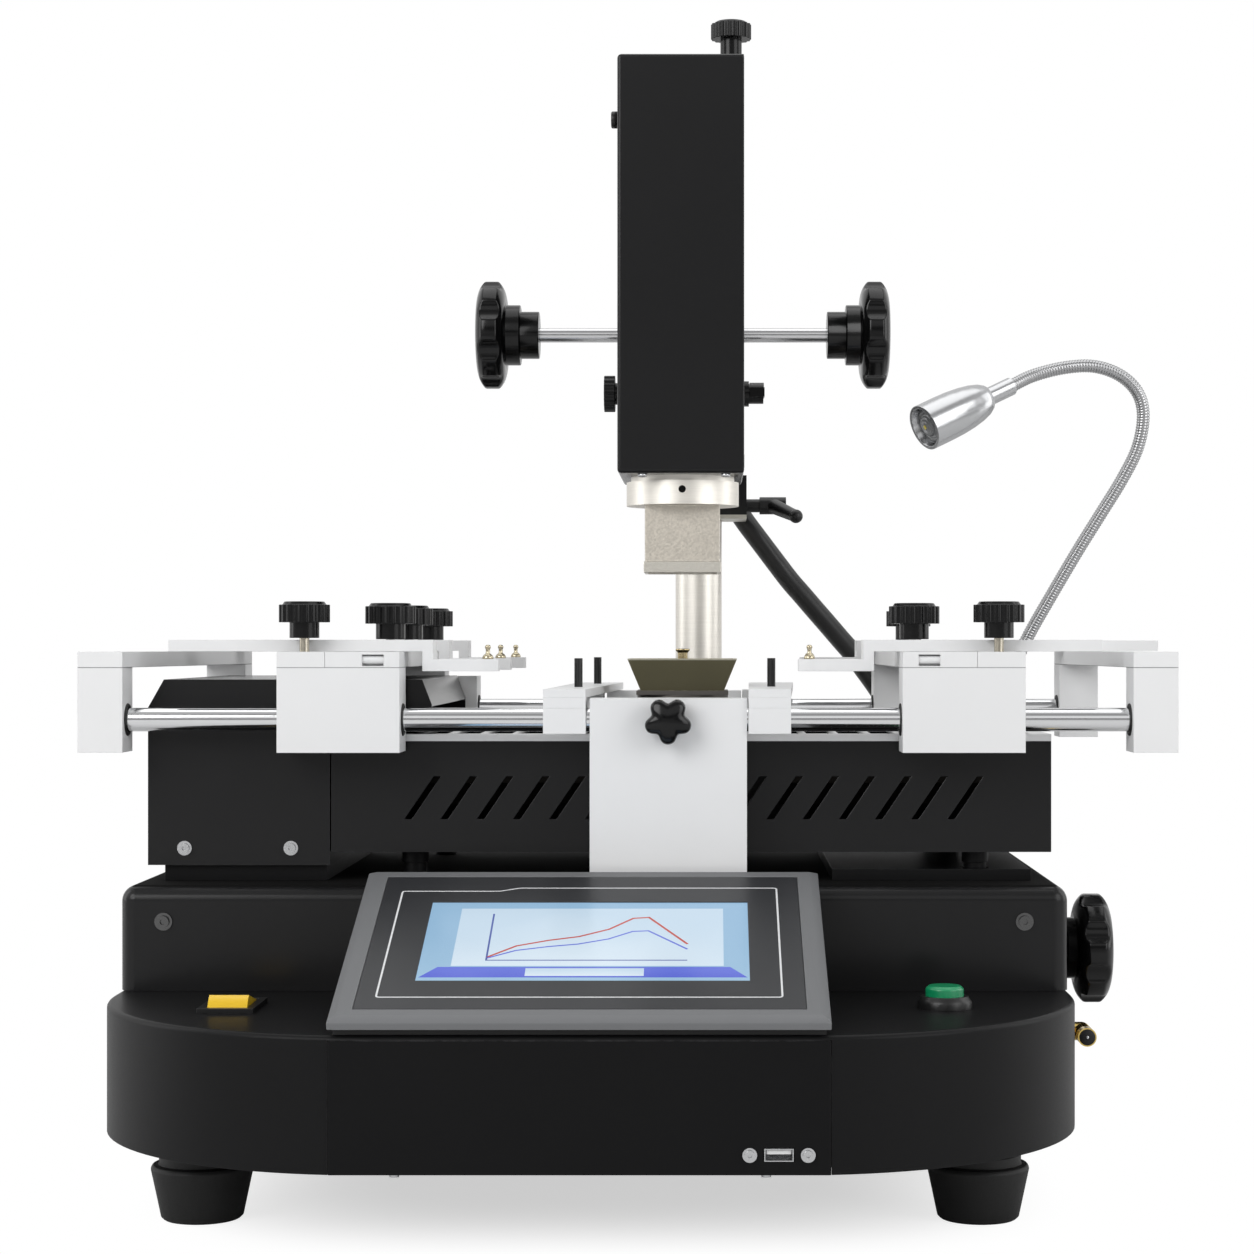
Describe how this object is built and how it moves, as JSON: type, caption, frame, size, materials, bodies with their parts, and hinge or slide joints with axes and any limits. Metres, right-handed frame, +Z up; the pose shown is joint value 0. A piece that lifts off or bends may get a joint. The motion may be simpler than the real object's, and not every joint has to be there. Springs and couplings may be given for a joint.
{
  "type": "bga rework station",
  "caption": "Bench station for reworking ball-grid chips: base with touch panel, infrared preheating box, board clamps on rails and a swinging hot-air head with a lamp.",
  "frame": {"origin": "middle of the machine's bounding box, on the floor under the feet", "axes": "+X to the operator's right, +Y to the back, +Z up"},
  "size_m": [0.585, 0.4666, 0.6287],
  "materials": {
    "black_coat": "fine-textured satin black powder coat",
    "front_coat": "smooth satin black paint",
    "inner_sheet": "plain dark coated sheet",
    "foot_rubber": "matt black rubber",
    "grey_bezel": "fine-grained grey moulding",
    "overlay": "dark satin overlay",
    "black_plastic": "moulded black plastic",
    "steel": "bright zinc-plated steel",
    "brass": "turned brass",
    "white_paint": "white powder coat on aluminium",
    "silver_sheet": "bare aluminium sheet",
    "ceramic": "dark glazed ceramic",
    "fan_alu": "rolled aluminium blades",
    "satin_nickel": "satin nickel",
    "fitting_grey": "light grey fitting",
    "chrome": "hard chrome",
    "hose_rubber": "smooth black rubber hose",
    "yellow": "yellow moulded switch",
    "green": "green moulded button",
    "heater_steel": "heat-darkened steel",
    "bronze": "heat-tinted bronze",
    "nozzle_steel": "heat-tinted stainless steel",
    "lamp_alu": "anodised aluminium"
  },
  "bodies": {
    "root": {"base_shell": "black_coat", "front_panel": "front_coat", "base_plate": "inner_sheet", "rubber_feet": "foot_rubber", "upper_cover": "black_coat", "hmi_bezel": "grey_bezel", "hmi_screen": "overlay", "switch_bezels": "black_plastic", "usb_port": "steel", "panel_screws": "steel", "vacuum_fitting": "brass", "mount_plates": "inner_sheet", "heater_box": "black_coat", "heater_grid": "silver_sheet", "ir_heaters": "ceramic", "fan_housing": "black_coat", "rail_brackets": "white_paint", "column": "satin_nickel", "metal_fittings": "fitting_grey", "air_blower": "black_plastic", "air_hose": "hose_rubber"},
    "rocker": {"rocker": "yellow"},
    "button": {"button_cap": "green"},
    "side_wheel": {"side_handwheel": "black_plastic"},
    "lower_head": {"lower_heater": "heater_steel", "lower_nozzle": "bronze", "support_pin": "brass"},
    "fan": {"fan_rotor": "fan_alu"},
    "star": {"star_knob": "black_plastic"},
    "board_frame": {"rails": "chrome", "end_frames": "white_paint"},
    "left_clamp": {"left_carriage": "white_paint"},
    "right_clamp": {"right_carriage": "white_paint"},
    "left_lock": {"left_lock_knob": "black_plastic"},
    "right_lock": {"right_lock_knob": "black_plastic"},
    "left_bar": {"left_support_bar": "white_paint"},
    "right_bar": {"right_support_bar": "white_paint"},
    "swing": {"swing_arm": "black_coat", "head_rack": "steel"},
    "lever": {"clamp_lever": "black_plastic"},
    "head": {"head_housing": "black_coat", "nozzle_ring": "satin_nickel", "top_nozzle": "nozzle_steel"},
    "shaft": {"head_shaft": "chrome", "handwheels": "black_plastic"},
    "top_screw": {"top_knob": "black_plastic"},
    "left_screw": {"left_side_knob": "black_plastic"},
    "right_screw": {"right_wing_knob": "black_plastic"},
    "lamp": {"gooseneck": "chrome", "lamp_head": "lamp_alu"},
    "left_arm_front": {"left_arm_front": "white_paint"},
    "left_knob_front": {"left_knob_front": "black_plastic"},
    "left_arm_middle": {"left_arm_middle": "white_paint"},
    "left_knob_middle": {"left_knob_middle": "black_plastic"},
    "left_arm_rear": {"left_arm_rear": "white_paint"},
    "left_knob_rear": {"left_knob_rear": "black_plastic"},
    "right_arm_front": {"right_arm_front": "white_paint"},
    "right_knob_front": {"right_knob_front": "black_plastic"},
    "right_arm_rear": {"right_arm_rear": "white_paint"},
    "right_knob_rear": {"right_knob_rear": "black_plastic"}
  },
  "joints": [
    {"name": "rocker_tilt", "type": "hinge", "parent": "root", "child": "rocker", "pos_m": [-0.2035, -0.13516, 0.0981], "axis": [1, 0, 0], "range_deg": [0, 25]},
    {"name": "button_press", "type": "slide", "parent": "root", "child": "button", "axis": [0, 0, 1], "range_m": [-0.0015, 0], "stiffness_N_per_m": 500, "springref_m": 0.001},
    {"name": "lower_lift", "type": "slide", "parent": "root", "child": "lower_head", "axis": [0, 0, 1], "range_m": [-0.015, 0.006]},
    {"name": "side_wheel_turn", "type": "hinge", "parent": "root", "child": "side_wheel", "pos_m": [0.2285, -0.01416, 0.1207], "axis": [1, 0, 0], "range_deg": [-96, 39]},
    {"name": "fan_spin", "type": "hinge", "parent": "root", "child": "fan", "pos_m": [-0.21605, 0.05284, 0.2048], "axis": [0, 1, 0], "continuous": true},
    {"name": "star_turn", "type": "hinge", "parent": "root", "child": "star", "pos_m": [0.0061, -0.07916, 0.2424], "axis": [0, 1, 0], "range_deg": [-360, 360]},
    {"name": "frame_slide", "type": "slide", "parent": "root", "child": "board_frame", "axis": [1, 0, 0], "range_m": [-0.012, 0.012]},
    {"name": "left_clamp_slide", "type": "slide", "parent": "board_frame", "child": "left_clamp", "axis": [1, 0, 0], "range_m": [-0.05, 0.02]},
    {"name": "right_clamp_slide", "type": "slide", "parent": "board_frame", "child": "right_clamp", "axis": [1, 0, 0], "range_m": [-0.02, 0.045]},
    {"name": "left_lock_turn", "type": "hinge", "parent": "left_clamp", "child": "left_lock", "pos_m": [-0.1795, -0.06316, 0.29], "axis": [0, 0, 1], "range_deg": [-360, 360]},
    {"name": "right_lock_turn", "type": "hinge", "parent": "right_clamp", "child": "right_lock", "pos_m": [0.1745, -0.06316, 0.29], "axis": [0, 0, 1], "range_deg": [-360, 360]},
    {"name": "left_arm_front_slide", "type": "slide", "parent": "left_clamp", "child": "left_arm_front", "axis": [1, 0, 0], "range_m": [-0.008, 0.03]},
    {"name": "left_knob_front_turn", "type": "hinge", "parent": "left_clamp", "child": "left_knob_front", "pos_m": [-0.1375, -0.04716, 0.295], "axis": [0, 0, 1], "range_deg": [-360, 360]},
    {"name": "left_arm_middle_slide", "type": "slide", "parent": "left_clamp", "child": "left_arm_middle", "axis": [1, 0, 0], "range_m": [-0.008, 0.03]},
    {"name": "left_knob_middle_turn", "type": "hinge", "parent": "left_clamp", "child": "left_knob_middle", "pos_m": [-0.1375, 0.03884, 0.295], "axis": [0, 0, 1], "range_deg": [-360, 360]},
    {"name": "left_arm_rear_slide", "type": "slide", "parent": "left_clamp", "child": "left_arm_rear", "axis": [1, 0, 0], "range_m": [-0.008, 0.03]},
    {"name": "left_knob_rear_turn", "type": "hinge", "parent": "left_clamp", "child": "left_knob_rear", "pos_m": [-0.1375, 0.15484, 0.295], "axis": [0, 0, 1], "range_deg": [-360, 360]},
    {"name": "right_arm_front_slide", "type": "slide", "parent": "right_clamp", "child": "right_arm_front", "axis": [1, 0, 0], "range_m": [-0.03, 0.008]},
    {"name": "right_knob_front_turn", "type": "hinge", "parent": "right_clamp", "child": "right_knob_front", "pos_m": [0.1325, -0.04716, 0.295], "axis": [0, 0, 1], "range_deg": [-360, 360]},
    {"name": "right_arm_rear_slide", "type": "slide", "parent": "right_clamp", "child": "right_arm_rear", "axis": [1, 0, 0], "range_m": [-0.03, 0.004]},
    {"name": "right_knob_rear_turn", "type": "hinge", "parent": "right_clamp", "child": "right_knob_rear", "pos_m": [0.1445, 0.15484, 0.295], "axis": [0, 0, 1], "range_deg": [-360, 360]},
    {"name": "left_bar_slide", "type": "slide", "parent": "root", "child": "left_bar", "axis": [1, 0, 0], "range_m": [-0.03, 0]},
    {"name": "right_bar_slide", "type": "slide", "parent": "root", "child": "right_bar", "axis": [1, 0, 0], "range_m": [0, 0.022]},
    {"name": "head_swing", "type": "hinge", "parent": "root", "child": "swing", "pos_m": [0.0205, 0.20084, 0.369], "axis": [0, 0, 1], "range_deg": [-35, 4]},
    {"name": "lever_turn", "type": "hinge", "parent": "swing", "child": "lever", "pos_m": [0.0655, 0.20084, 0.365], "axis": [1, 0, 0], "range_deg": [-90, 15]},
    {"name": "head_lift", "type": "slide", "parent": "swing", "child": "head", "axis": [0, 0, 1], "range_m": [-0.034, 0.05]},
    {"name": "shaft_turn", "type": "hinge", "parent": "head", "child": "shaft", "pos_m": [0.0122, 0.08284, 0.455], "axis": [1, 0, 0], "range_deg": [-319, 217]},
    {"name": "top_screw_turn", "type": "hinge", "parent": "head", "child": "top_screw", "pos_m": [0.0391, 0.07084, 0.62], "axis": [0, 0, 1], "range_deg": [-360, 360]},
    {"name": "left_screw_turn", "type": "hinge", "parent": "head", "child": "left_screw", "pos_m": [-0.0275, 0.05084, 0.419], "axis": [1, 0, 0], "range_deg": [-360, 360]},
    {"name": "right_screw_turn", "type": "hinge", "parent": "head", "child": "right_screw", "pos_m": [0.0505, 0.05084, 0.419], "axis": [1, 0, 0], "range_deg": [-360, 360]},
    {"name": "lamp_swivel", "type": "hinge", "parent": "root", "child": "lamp", "pos_m": [0.1905, 0.20684, 0.17], "axis": [0, 0, 1], "range_deg": [0, 60]}
  ],
  "couplings": [
    {"joint": "shaft_turn", "follows": "head_lift", "rad_per_m": -111.11},
    {"joint": "side_wheel_turn", "follows": "lower_lift", "rad_per_m": 111.11}
  ]
}
